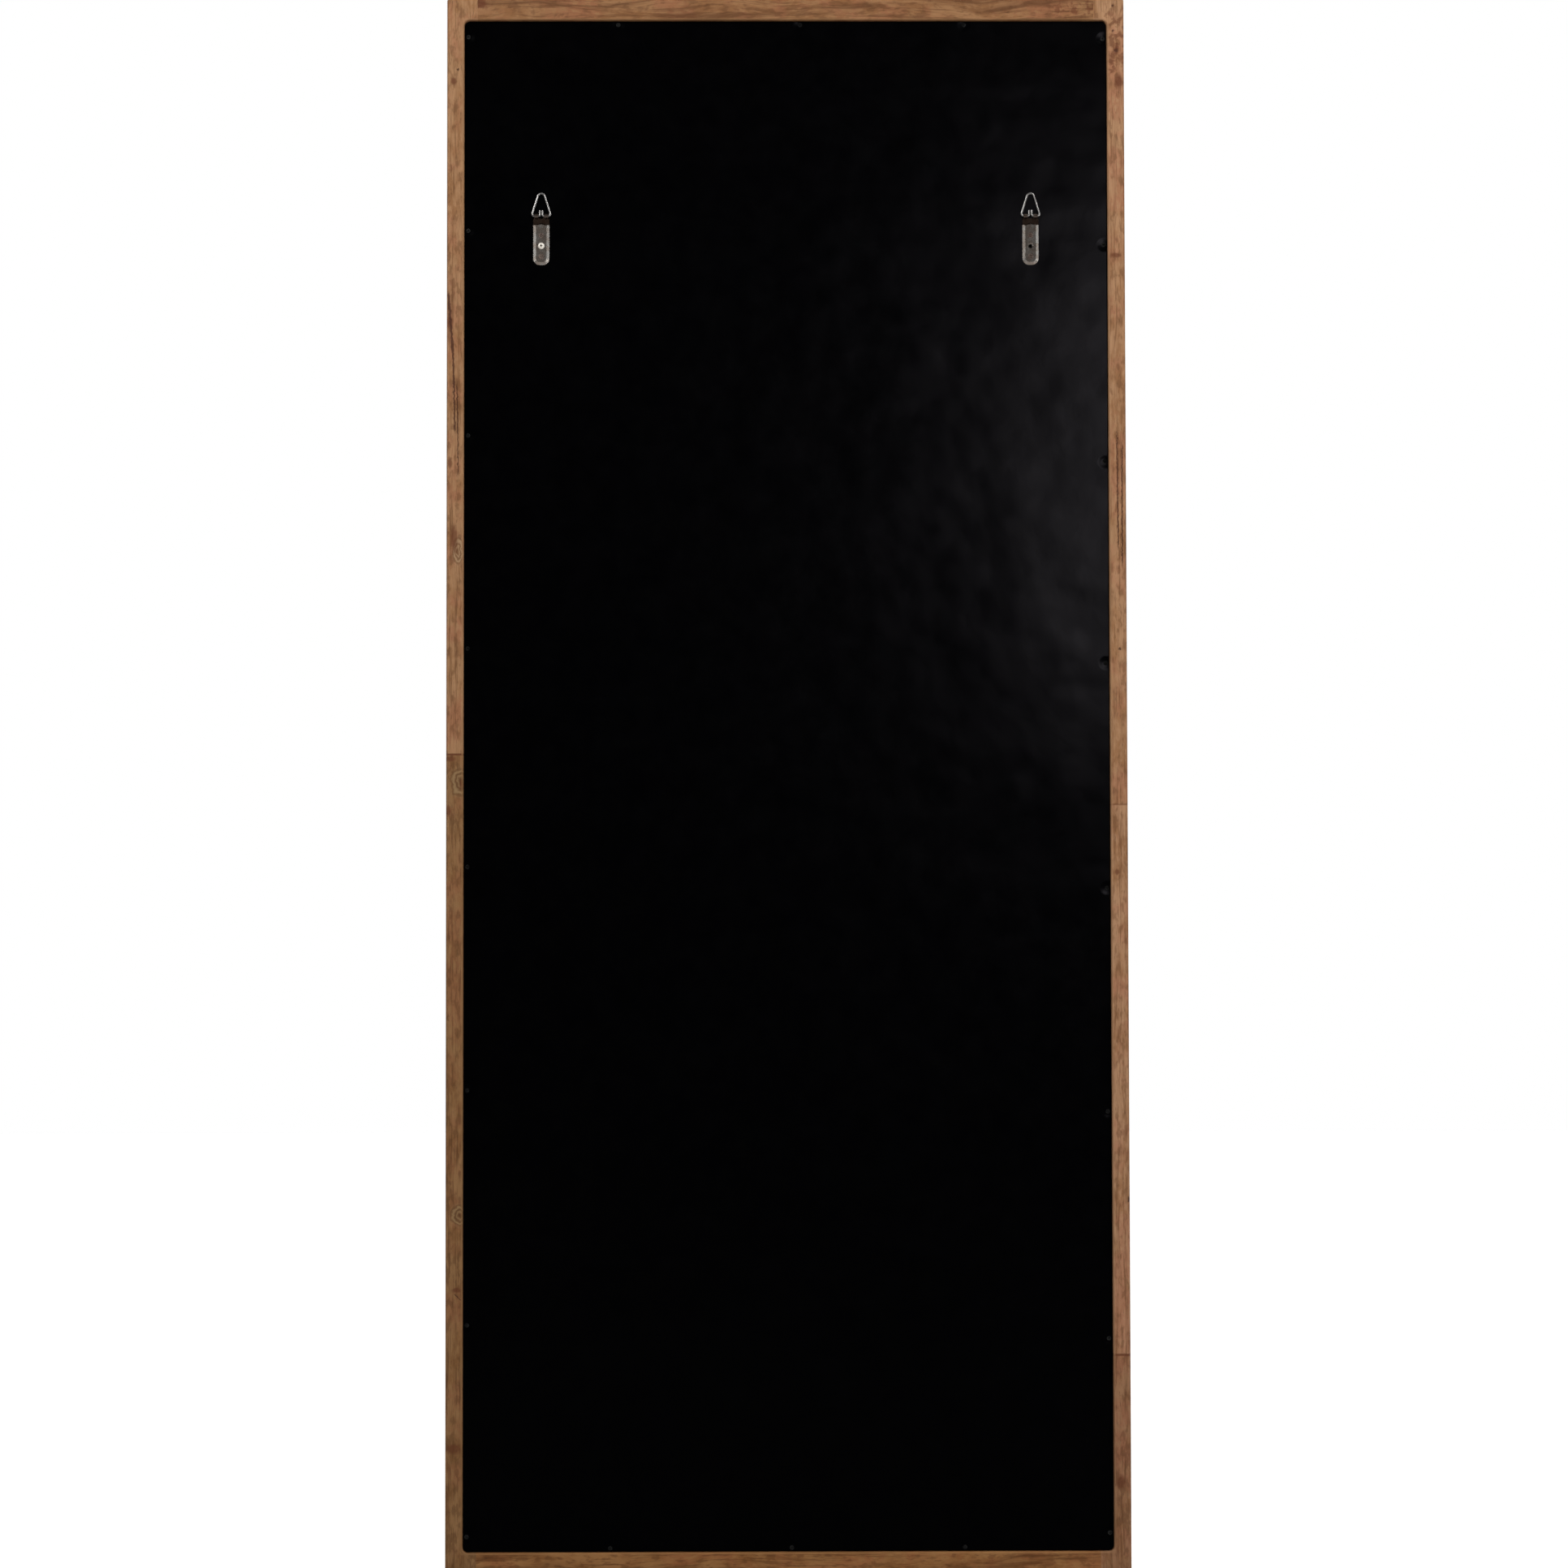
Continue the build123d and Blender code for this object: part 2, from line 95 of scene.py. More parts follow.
# %% Camera
CAMERA_PLACE = Vector((0.035, 4.361, 0.760))
CAMERA_PITCH = -2.12
CAMERA_YAW = -0.414
CAMERA_ROLL = -0.107

camera = bpy.data.objects.new("camera", bpy.data.cameras.new("camera"))
bpy.context.scene.collection.objects.link(camera)
camera.data.lens = 85
camera.data.sensor_width = 36
turn = (Matrix.Rotation(math.radians(CAMERA_YAW), 3, "Z")
        @ Matrix.Rotation(math.radians(CAMERA_PITCH), 3, "X")
        @ Matrix.Rotation(math.radians(CAMERA_ROLL), 3, "Y"))
right, up, back = turn @ Vector((-1, 0, 0)), turn @ Vector((0, 0, 1)), turn @ Vector((0, 1, 0))
camera.matrix_world = Matrix.Translation(CAMERA_PLACE) @ Matrix((right, up, back)).transposed().to_4x4()
bpy.context.scene.camera = camera
print("camera looks along", tuple(round(c, 4) for c in -back))

# %% [markdown]
# ## Words for shader nodes
# A finish is a graph of nodes, and written out in full it hides what it says.
# These helpers add one node each and take sockets or plain numbers, so a finish reads like a recipe.

# %% Node helpers
NOISE_ROUGHNESS = 0.55


def put(tree, kind, inputs=None, **settings):
    """Adds a node, sets its options, then wires or fills its inputs."""
    node = tree.nodes.new(kind)
    for key, value in settings.items():
        setattr(node, key, value)
    for socket, value in (inputs or {}).items():
        if isinstance(value, bpy.types.NodeSocket):
            tree.links.new(value, node.inputs[socket])
        else:
            node.inputs[socket].default_value = value
    return node


def calc(tree, operation, a, b=0.0):
    """One sum on two values."""
    return put(tree, "ShaderNodeMath", {0: a, 1: b}, operation=operation).outputs[0]


def vector(tree, x, y, z):
    """Three values joined into a vector."""
    return put(tree, "ShaderNodeCombineXYZ", {0: x, 1: y, 2: z}).outputs[0]


def ramp(tree, value, low, high, start=0.0, end=1.0):
    """A smooth step: start below low, end above high."""
    node = put(tree, "ShaderNodeMapRange",
               {"Value": value, "From Min": low, "From Max": high, "To Min": start, "To Max": end},
               interpolation_type="SMOOTHSTEP")
    return node.outputs[0]


def noise(tree, place, scale=1.0, detail=3.0):
    """Cloudy noise from 0 to 1."""
    node = put(tree, "ShaderNodeTexNoise",
               {"Vector": place, "Scale": scale, "Detail": detail, "Roughness": NOISE_ROUGHNESS})
    return node.outputs["Fac"]


def blend(tree, factor, first, second):
    """Two colours mixed by a factor."""
    node = put(tree, "ShaderNodeMix", {0: factor, 6: first, 7: second}, data_type="RGBA")
    return node.outputs[2]


def colour(red, green, blue):
    """A colour as Blender's sockets want it."""
    return (red, green, blue, 1.0)


def start_finish(name):
    """A new material with its shader, and the surface's own place in metres."""
    material = bpy.data.materials.new(name)
    material.use_nodes = True
    tree = material.node_tree
    place = put(tree, "ShaderNodeTexCoord").outputs["Object"]
    return material, tree, tree.nodes["Principled BSDF"], place


def feed(tree, shader, **sockets):
    """Wires values or colours into the shader by its socket names."""
    for name, value in sockets.items():
        socket = shader.inputs[name.replace("_", " ")]
        if isinstance(value, bpy.types.NodeSocket):
            tree.links.new(value, socket)
        else:
            socket.default_value = value


def bumps(tree, shader, height, depth):
    """Roughens the surface by a height from 0 to 1 that stands for a depth in metres."""
    node = put(tree, "ShaderNodeBump", {"Height": height, "Distance": depth})
    tree.links.new(node.outputs["Normal"], shader.inputs["Normal"])

# %% [markdown]
# ## Wood
# The frame is reclaimed wood: warm brown, with long fibres, short dark pores, knots, cracks and
# stains. A photo texture would be quick, but it stretches round corners and shows one place only. A
# procedural finish is made from noise that is stretched along the grain, so it fits every face. The
# growth rings are the contour lines of such a noise, which run on, part and close as real figure
# does. Each board gets its own seed and tint, because no two boards of a real frame match.

# %% Grain of one board
def grain_axes(tree, place, along, seed):
    """Splits the place into across, depth and along the grain, shifted so that no two boards match."""
    split = put(tree, "ShaderNodeSeparateXYZ", {0: place}).outputs
    across, length = (split[0], split[2]) if along == "Z" else (split[2], split[0])
    return calc(tree, "ADD", across, seed * 0.37), split[1], calc(tree, "ADD", length, seed * 1.91)


def grain(tree, axes, wander, lines):
    """The patterns of bare wood, each from 0 to 1: growth lines, fibres, pores, flecks and blotches."""
    across, depth, length = axes
    drift = noise(tree, vector(tree, calc(tree, "MULTIPLY", across, 14), depth,
                               calc(tree, "MULTIPLY", length, 5)), detail=2)
    swing = calc(tree, "MULTIPLY", calc(tree, "SUBTRACT", drift, 0.5), wander)
    bent = calc(tree, "ADD", across, swing)

    def stretched(wide, long, detail):
        return noise(tree, vector(tree, calc(tree, "MULTIPLY", bent, wide),
                                  calc(tree, "MULTIPLY", depth, wide),
                                  calc(tree, "MULTIPLY", length, long)), detail=detail)

    rings = calc(tree, "SINE", calc(tree, "MULTIPLY", stretched(50, 3.4, 3), lines))
    fibres = calc(tree, "ADD", calc(tree, "MULTIPLY", stretched(260, 9, 4), 0.6),
                  calc(tree, "MULTIPLY", stretched(800, 34, 3), 0.4))
    pores = ramp(tree, stretched(900, 110, 2), 0.60, 0.70)
    growth = calc(tree, "ADD", calc(tree, "MULTIPLY", ramp(tree, rings, -0.6, 1.0), 0.55),
                  calc(tree, "MULTIPLY", ramp(tree, rings, 0.90, 0.99), 0.45))
    return growth, fibres, pores, stretched(190, 75, 4), stretched(48, 20, 4)

# %% [markdown]
# ## Marks on the wood
# Knots, cracks, stains and joints sit at places read off the photograph.
# Each is a small mask: the distance from a centre, measured in the mark's own width and height.
# Painting them as an image would fix them to one resolution, and masks stay sharp at any distance.

# %% Masks for marks
KNOT_RINGS = 15


def nearness(tree, place, centre, reach):
    """The distance from a centre, counted in reaches across, in depth and up."""
    offset = put(tree, "ShaderNodeVectorMath", {0: place, 1: centre}, operation="SUBTRACT").outputs[0]
    scaled = put(tree, "ShaderNodeVectorMath", {0: offset, 1: reach}, operation="DIVIDE").outputs[0]
    return put(tree, "ShaderNodeVectorMath", {0: scaled}, operation="LENGTH").outputs["Value"]


def ragged(tree, place, amount, scale=260):
    """The place shaken by noise, so that the edges of a mark aren't drawn with a compass."""
    shake = put(tree, "ShaderNodeTexNoise", {"Vector": place, "Scale": scale, "Detail": 2.0})
    centred = put(tree, "ShaderNodeVectorMath", {0: shake.outputs["Color"], 1: (0.5, 0.5, 0.5)},
                  operation="SUBTRACT")
    scaled = put(tree, "ShaderNodeVectorMath", {0: centred.outputs[0], "Scale": amount}, operation="SCALE")
    return put(tree, "ShaderNodeVectorMath", {0: place, 1: scaled.outputs[0]}, operation="ADD").outputs[0]


def spot(tree, place, x, z, wide, tall):
    """A soft spot on the back face, 1 in the middle and 0 at its edge."""
    away = nearness(tree, place, (x, FRAME_BACK, z), (wide, 0.02, tall))
    return ramp(tree, away, 0.35, 1.0, 1.0, 0.0)


def knot(tree, place, x, z, wide, tall):
    """A knot: rings round a dark heart, and the mask that they show through."""
    away = nearness(tree, place, (x, FRAME_BACK, z), (wide, 0.03, tall))
    waves = calc(tree, "SINE", calc(tree, "MULTIPLY", away, KNOT_RINGS))
    rings = calc(tree, "ADD", calc(tree, "MULTIPLY", waves, 0.35), 0.55)
    heart = ramp(tree, away, 0.1, 0.5, 1.0, 0.0)
    return calc(tree, "MAXIMUM", rings, heart), ramp(tree, away, 0.75, 1.25, 1.0, 0.0)


def crack(tree, place, start, end, width):
    """A thin dark line between two points of the back face."""
    (x_start, z_start), (x_end, z_end) = start, end
    split = put(tree, "ShaderNodeSeparateXYZ", {0: place}).outputs
    slope = (x_end - x_start) / (z_end - z_start)
    above = calc(tree, "SUBTRACT", split[2], z_start)
    line = calc(tree, "ADD", calc(tree, "MULTIPLY", above, slope), x_start)
    aside = calc(tree, "ABSOLUTE", calc(tree, "SUBTRACT", split[0], line))
    middle, half = (z_start + z_end) / 2, abs(z_end - z_start) / 2
    beyond = calc(tree, "ABSOLUTE", calc(tree, "SUBTRACT", split[2], middle))
    return calc(tree, "MULTIPLY", ramp(tree, aside, width * 0.45, width, 1.0, 0.0),
                ramp(tree, beyond, half * 0.8, half, 1.0, 0.0))

# %% [markdown]
# ## One finish for each board
# The recipe is the same for all seven boards: blotches of warm, pale and red wood come first.
# Flecks, fibres, growth lines and pores follow, then the board's own marks.
# A dark line where it butts against the next board and a painted highlight along the eased edge of the
# recess come last.
# One material with switches for every board would be shorter to list, but harder to read and to tune.

# %% Recipe for a board
DARK_WOOD = (0.130, 0.052, 0.018)
WARM_WOOD = (0.285, 0.135, 0.058)
PALE_WOOD = (0.380, 0.205, 0.105)
PORE = colour(0.060, 0.024, 0.010)
STAIN = colour(0.120, 0.034, 0.011)
HOLE = colour(0.060, 0.018, 0.007)
RED_WOOD = (0.350, 0.150, 0.080)
MARK_SHAKE = 3.0 * MM
KNOT_SHAKE = 9.0 * MM
KNOT_WOOD = (0.430, 0.280, 0.165)


def tinted(base, tint):
    """A wood colour under one board's own tint."""
    return colour(*(value * share for value, share in zip(base, tint)))


def all_of(tree, masks):
    """The strongest of several masks, or nothing."""
    total = 0.0
    for mask in masks:
        total = calc(tree, "MAXIMUM", mask, total)
    return total


def eased_edge_highlight(tree, place):
    """A painted highlight along the recess edge, which was eased by hand, from the distance to the recess.
    """
    split = put(tree, "ShaderNodeSeparateXYZ", {0: place}).outputs
    side = calc(tree, "SUBTRACT", calc(tree, "ABSOLUTE", split[0]), RECESS_SIDE)
    middle = (RECESS_TOP + RECESS_LOW) / 2
    end = calc(tree, "SUBTRACT", calc(tree, "ABSOLUTE", calc(tree, "SUBTRACT", split[2], middle)),
               RECESS_TOP - middle)
    outside = calc(tree, "MAXIMUM", side, end)
    at_back = ramp(tree, split[1], FRAME_BACK - 4 * MM, FRAME_BACK - 2 * MM)
    return calc(tree, "MULTIPLY", ramp(tree, outside, 1.4 * MM, 2.6 * MM, 1.0, 0.0), at_back)


def board_finish(name, along, seed, tint, wander=0.012, lines=45.0, ends=(), knots=(), cracks=(), stains=(),
                 holes=(), burls=(), figure=0.22):
    """The finish of one board of the frame."""
    material, tree, shader, place = start_finish(name)
    axes = grain_axes(tree, place, along, seed)
    growth, fibres, pores, flecks, blotches = grain(tree, axes, wander, lines)
    shaken = ragged(tree, place, MARK_SHAKE)

    dark, warm, pale, red = (tinted(base, tint) for base in (DARK_WOOD, WARM_WOOD, PALE_WOOD, RED_WOOD))
    wood = blend(tree, ramp(tree, blotches, 0.38, 0.62), warm, pale)
    wood = blend(tree, ramp(tree, noise(tree, place, 26, detail=3), 0.45, 0.62, 0.0, 0.7), wood, red)
    wood = blend(tree, ramp(tree, flecks, 0.50, 0.64, 0.0, 0.50), wood, dark)
    wood = blend(tree, ramp(tree, flecks, 0.47, 0.34, 0.0, 0.75), wood, pale)
    wood = blend(tree, ramp(tree, fibres, 0.50, 0.62, 0.0, 0.60), wood, dark)
    wood = blend(tree, calc(tree, "MULTIPLY", growth, figure), wood, dark)
    wood = blend(tree, calc(tree, "MULTIPLY", pores, 0.35), wood, PORE)

    gnarled = ragged(tree, shaken, KNOT_SHAKE, scale=95)
    for x, z, wide, tall in knots:
        rings, mask = knot(tree, gnarled, x, z, wide, tall)
        wood = blend(tree, calc(tree, "MULTIPLY", mask, 0.85), wood,
                     blend(tree, rings, tinted(KNOT_WOOD, tint), dark))
    for burl in burls:
        swirls = ramp(tree, noise(tree, shaken, 110, detail=3), 0.48, 0.62, 0.0, 0.70)
        wood = blend(tree, calc(tree, "MULTIPLY", swirls, spot(tree, place, *burl)), wood, STAIN)
    stained = all_of(tree, [spot(tree, shaken, *stain) for stain in stains])
    wood = blend(tree, calc(tree, "MULTIPLY", stained, 0.75), wood, STAIN)
    split_open = all_of(tree, [crack(tree, shaken, *line) for line in cracks]
                        + [spot(tree, shaken, *hole) for hole in holes])
    wood = blend(tree, calc(tree, "MULTIPLY", split_open, 0.85), wood, HOLE)
    up_down = put(tree, "ShaderNodeSeparateXYZ", {0: place}).outputs[2]
    joints = all_of(tree, [ramp(tree, calc(tree, "ABSOLUTE", calc(tree, "SUBTRACT", up_down, z)),
                                width * 0.4, width, strength, 0.0) for z, width, strength in ends])
    wood = blend(tree, joints, wood, STAIN)
    # Paler along the eased recess edge: a painted highlight.
    wood = blend(tree, calc(tree, "MULTIPLY", eased_edge_highlight(tree, place), 0.5), wood, pale)

    rough = calc(tree, "ADD", calc(tree, "MULTIPLY", fibres, 0.25), 0.50)
    height = calc(tree, "SUBTRACT", calc(tree, "ADD", calc(tree, "MULTIPLY", fibres, 0.5),
                                         calc(tree, "MULTIPLY", flecks, 0.2)),
                  calc(tree, "ADD", calc(tree, "MULTIPLY", pores, 0.35),
                       calc(tree, "ADD", split_open, calc(tree, "MULTIPLY", joints, 0.6))))
    feed(tree, shader, Base_Color=wood, Roughness=rough, Specular_IOR_Level=0.2)
    bumps(tree, shader, height, 0.35 * MM)
    return material

# %% [markdown]
# ## The boards themselves
# The picture shows the back, so its left side is the stile at plus X.
# The marks are listed by place in metres, with their sizes, as they were measured on the photograph.
# The CAD shapes are right as they are, so only their material slots change.

# %% Finishes of the seven boards
def dress(node, material):
    """Gives a loaded CAD piece its finish."""
    slots = frame["nodes"][node].data.materials
    slots.clear()
    slots.append(material)


LEFT_LOW_SEAM = 0.253
LEFT_HIGH_SEAM = 0.896
RIGHT_SEAM = 0.956

board_finishes = {
    "right_stile_upper": board_finish(
        "wood_right_upper", "Z", 1, (1.03, 1.03, 0.97),
        ends=[(RIGHT_SEAM, 1.7 * MM, 0.85)],
        cracks=[((0.3985, 1.505), (0.3925, 1.425), 2.0 * MM), ((0.3930, 1.450), (0.3900, 1.330), 1.4 * MM),
                ((0.3880, 1.400), (0.3862, 1.280), 0.8 * MM)],
        stains=[(0.3960, 1.466, 5 * MM, 12 * MM), (0.392, 1.752, 5 * MM, 6 * MM),
                (0.391, 1.210, 6 * MM, 22 * MM), (0.3960, 1.300, 4 * MM, 9 * MM)],
        holes=[(0.3872, 1.766, 2.4 * MM, 2.0 * MM)],
        knots=[(0.3865, 1.195, 7 * MM, 16 * MM)]),
    "right_stile_lower": board_finish(
        "wood_right_lower", "Z", 2, (0.77, 0.75, 0.60),
        ends=[(RIGHT_SEAM, 1.7 * MM, 0.85)],
        knots=[(0.3825, 0.924, 12 * MM, 17 * MM), (0.3835, 0.417, 10 * MM, 13 * MM)],
        stains=[(0.3955, 0.951, 9 * MM, 5 * MM), (0.3815, 0.920, 4 * MM, 8 * MM),
                (0.390, 0.146, 14 * MM, 8 * MM), (0.3865, 0.330, 8 * MM, 4 * MM),
                (0.3975, 0.890, 4 * MM, 9 * MM)],
        cracks=[((0.3815, 0.318), (0.3900, 0.326), 1.0 * MM)]),
    "left_stile_upper": board_finish(
        "wood_left_upper", "Z", 3, (1.06, 1.07, 1.06),
        ends=[(LEFT_HIGH_SEAM, 1.4 * MM, 0.5)],
        holes=[(-0.3907, 1.7887, 3.8 * MM, 3.4 * MM), (-0.3872, 1.812, 2.0 * MM, 2.4 * MM),
               (-0.3872, 1.842, 2.0 * MM, 2.0 * MM), (-0.3915, 1.079, 2.6 * MM, 2.4 * MM)],
        stains=[(-0.3935, 1.752, 7 * MM, 13 * MM), (-0.3905, 1.788, 5 * MM, 8 * MM),
                (-0.3890, 1.545, 9 * MM, 4 * MM)],
        burls=[(-0.390, 1.790, 40 * MM, 75 * MM)],
        cracks=[((-0.3895, 1.345), (-0.3905, 1.190), 1.1 * MM),
                ((-0.3955, 1.330), (-0.3950, 1.170), 1.1 * MM)]),
    "left_stile_middle": board_finish(
        "wood_left_middle", "Z", 4, (1.12, 1.14, 1.18),
        ends=[(LEFT_HIGH_SEAM, 1.4 * MM, 0.5), (LEFT_LOW_SEAM, 2.0 * MM, 0.8)],
        stains=[(-0.3870, 0.817, 4 * MM, 5 * MM)],
        holes=[(-0.3988, 0.434, 2.4 * MM, 5 * MM)]),
    "left_stile_lower": board_finish(
        "wood_left_lower", "Z", 5, (0.88, 0.84, 0.82),
        ends=[(LEFT_LOW_SEAM, 2.0 * MM, 0.8)],
        stains=[(-0.388, 0.105, 8 * MM, 12 * MM)]),
    "top_rail": board_finish(
        "wood_top", "X", 6, (0.80, 0.74, 0.62), wander=0.040, lines=24.0, figure=0.75,
        stains=[(0.3627, 1.8435, 14 * MM, 5 * MM)],
        burls=[(-0.345, 1.840, 50 * MM, 40 * MM), (0.360, 1.846, 22 * MM, 12 * MM)],
        cracks=[((0.3790, 1.8460), (0.3700, 1.8290), 1.2 * MM)]),
    "bottom_rail": board_finish(
        "wood_bottom", "X", 7, (0.95, 0.84, 0.58), wander=0.030, lines=24.0, figure=0.60),
}
for node, material in board_finishes.items():
    dress(node, material)
print("boards dressed:", len(board_finishes))

# %% [markdown]
# ## The black board
# The board is a thin sheet with a satin black face. It isn't flat: it ripples gently, and the screws
# pull it in. Real waves in the mesh would show it too, but a bump is enough, because only the gloss
# tells of them. The dimples need the distance to the nearest screw, and the screws' places are read
# from their CAD piece.

# %% Where the screws are
def loose_parts(node):
    """The lowest and highest corner of each separate solid in a CAD piece."""
    mesh = bmesh.new()
    mesh.from_mesh(frame["nodes"][node].data)
    bmesh.ops.remove_doubles(mesh, verts=mesh.verts, dist=0.01 * MM)
    waiting, parts = set(mesh.verts), []
    while waiting:
        front = [waiting.pop()]
        part = set(front)
        while front:
            here = front.pop()
            near = {edge.other_vert(here) for edge in here.link_edges} - part
            part |= near
            front += near
        waiting -= part
        corners = [vertex.co for vertex in part]
        parts.append(tuple(Vector(pick(corner[axis] for corner in corners) for axis in range(3))
                           for pick in (min, max)))
    mesh.free()
    return sorted(parts, key=lambda part: tuple(part[0]))


def head_places(node):
    """The middle of each screw's head."""
    return [Vector(((low.x + high.x) / 2, high.y, (low.z + high.z) / 2)) for low, high in loose_parts(node)]


board_screws = head_places("board_screws")
print("board screws:", len(board_screws))

# %% Satin black face
def black_board_finish():
    material, tree, shader, place = start_finish("satin_black_board")
    nearest = 1.0
    for screw in board_screws:
        away = put(tree, "ShaderNodeVectorMath", {0: place, 1: screw}, operation="DISTANCE")
        nearest = calc(tree, "MINIMUM", away.outputs["Value"], nearest)
    dimple = ramp(tree, nearest, 2.0 * MM, 9.0 * MM, 0.0, 1.0)
    ripple = noise(tree, place, 9, detail=2)
    mottle = noise(tree, place, 42, detail=3)
    grit = noise(tree, place, 900, detail=2)
    height = calc(tree, "ADD", calc(tree, "MULTIPLY", dimple, 0.60), calc(tree, "MULTIPLY", ripple, 2.4))
    height = calc(tree, "ADD", height, calc(tree, "MULTIPLY", mottle, 0.12))
    height = calc(tree, "ADD", height, calc(tree, "MULTIPLY", grit, 0.004))
    tone = blend(tree, mottle, colour(0.0002, 0.0002, 0.0003), colour(0.0006, 0.0006, 0.0007))
    rough = calc(tree, "ADD", calc(tree, "MULTIPLY", mottle, 0.14), 0.16)
    feed(tree, shader, Base_Color=tone, Roughness=rough, Specular_IOR_Level=0.012)
    bumps(tree, shader, height, 1.0 * MM)
    return material


dress("backing_board", black_board_finish())

# %% [markdown]
# ## Glass, felt, rubber and hidden wood
# The glass is silvered on its back. Mirrors can be built as glass over metal, but one metal shader
# with a trace of green gives the same picture without long light paths, and faint wiping marks live
# in its roughness. The strips and battens behind it are hardly seen, so they get plain finishes with
# only their fine grain.

# %% Front and inner finishes
def mirror_finish():
    material, tree, shader, place = start_finish("silvered_glass")
    wiped = noise(tree, place, 6, detail=4)
    rough = ramp(tree, wiped, 0.35, 0.75, 0.008, 0.030)
    tone = blend(tree, wiped, colour(0.900, 0.925, 0.915), colour(0.930, 0.945, 0.940))
    feed(tree, shader, Base_Color=tone, Roughness=rough, Metallic=1.0)
    return material


def fuzzy_finish(name, dark, light, rough, scale):
    material, tree, shader, place = start_finish(name)
    fuzz = noise(tree, place, scale, detail=4)
    feed(tree, shader, Base_Color=blend(tree, fuzz, colour(*dark), colour(*light)), Roughness=rough)
    bumps(tree, shader, fuzz, 0.2 * MM)
    return material


def batten_finish():
    material, tree, shader, place = start_finish("sawn_softwood")
    growth, fibres, pores, _, blotches = grain(tree, grain_axes(tree, place, "X", 11), 0.01, 60.0)
    wood = blend(tree, fibres, colour(0.36, 0.22, 0.11), colour(0.62, 0.45, 0.27))
    wood = blend(tree, calc(tree, "MULTIPLY", growth, 0.35), wood, colour(0.45, 0.27, 0.13))
    feed(tree, shader, Base_Color=wood, Roughness=ramp(tree, blotches, 0.2, 0.8, 0.65, 0.85))
    bumps(tree, shader, calc(tree, "SUBTRACT", fibres, calc(tree, "MULTIPLY", pores, 0.3)), 0.3 * MM)
    return material


dress("mirror_glass", mirror_finish())
felt = fuzzy_finish("black_felt", (0.012, 0.012, 0.012), (0.035, 0.035, 0.035), 0.95, 1800)
rubber = fuzzy_finish("setting_rubber", (0.012, 0.012, 0.012), (0.022, 0.022, 0.022), 0.60, 700)
softwood = batten_finish()
for node in ("glass_cushions", "batten_felts"):
    dress(node, felt)
dress("setting_pads", rubber)
for node in ("bottom_batten", "lower_batten", "upper_batten", "hanging_batten", "top_batten",
             "corner_tenons", "stile_tenons"):
    dress(node, softwood)

# %% [markdown]
# ## Metal finishes
# The straps and rings are nickel plated: bright, a little warm, with fine scratches and dull patches.
# Their flat necks are painted dark brown: painted shade and dark reflection, with some tarnish.
# The board's screws are blackened, the hangers' flat screws are dull, and the one pan-head screw is pale.
# One helper makes them all, because they differ only in colour and gloss.

# %% Plated metal
SCRATCH_SCALE = (1500, 1500, 260)


def metal_finish(name, dark, light, rough, metallic=1.0, darkening=None):
    """Plated metal. Darkening is a function that gives a mask for where the colour is painted darker:
    painted shade and dark reflection with some tarnish on the strap necks, and a darker cross recess on the
    pan screw.
    """
    material, tree, shader, place = start_finish(name)
    scaled = put(tree, "ShaderNodeVectorMath", {0: place, 1: SCRATCH_SCALE}, operation="MULTIPLY")
    scratches = noise(tree, scaled.outputs[0], 1.0, detail=2)
    patches = noise(tree, place, 160, detail=2)
    tone = blend(tree, ramp(tree, patches, 0.35, 0.65), colour(*dark), colour(*light))
    if darkening:
        # The mask darkens the colour: painted shade and dark reflection with some tarnish on the strap
        # necks, and a darker cross recess on the pan screw.
        tone = blend(tree, darkening(tree, place), tone, DARKENING_COLOUR)
    rough = calc(tree, "ADD", calc(tree, "MULTIPLY", calc(tree, "ADD", scratches, patches), 0.05), rough)
    feed(tree, shader, Base_Color=tone, Roughness=rough, Metallic=metallic)
    bumps(tree, shader, scratches, 0.001 * MM)
    return material


# A dark brown that paints shade and dark reflection, with some tarnish, on the strap necks, and darkens the
# pan screw's cross recess.
DARKENING_COLOUR = colour(0.055, 0.026, 0.014)
NECK_LOW = 10.6 * MM
NECK_FACE = 1.5 * MM


def neck_shade_mask(tree, place):
    """Painted shade and dark reflection, with some tarnish, on the neck above a strap's raised part, and
    more weakly on its fingers.
    """
    split = put(tree, "ShaderNodeSeparateXYZ", {0: place}).outputs
    axis_height = ring_axes["left_ring"].z
    above = ramp(tree, split[2], axis_height - NECK_LOW, axis_height - NECK_LOW + 0.4 * MM)
    shallow = ramp(tree, split[1], BOARD_BACK + NECK_FACE, BOARD_BACK + NECK_FACE + 0.3 * MM, 0.9, 0.72)
    return calc(tree, "MULTIPLY", above, shallow)


# The dark brown of the necks is painted shade and dark reflection, with some tarnish.
strap_nickel = metal_finish("strap_nickel", (0.38, 0.31, 0.26), (0.46, 0.42, 0.38), 0.22, darkening=neck_shade_mask)
bright_wire = metal_finish("bright_wire", (0.26, 0.25, 0.24), (0.34, 0.33, 0.32), 0.30)
black_steel = metal_finish("blackened_steel", (0.020, 0.020, 0.020), (0.045, 0.044, 0.042), 0.30)
dull_screw = metal_finish("dull_screw_steel", (0.24, 0.17, 0.14), (0.36, 0.29, 0.25), 0.30)
for node in ("left_hanger_strap", "right_hanger_strap"):
    dress(node, strap_nickel)

# %% [markdown]
# ## The wire rings
# Each ring is one wire: its two ends are turned up in the middle, and it is bent out, round two
# corners and over the top. A curve with a bevel would draw it too. Here a circle is extruded along
# the straights and spun round each bend, as the wire is bent in the workshop, so every bend has its
# true radius.

# %% Helpers for pieces
SHARP_ANGLE = math.radians(35)


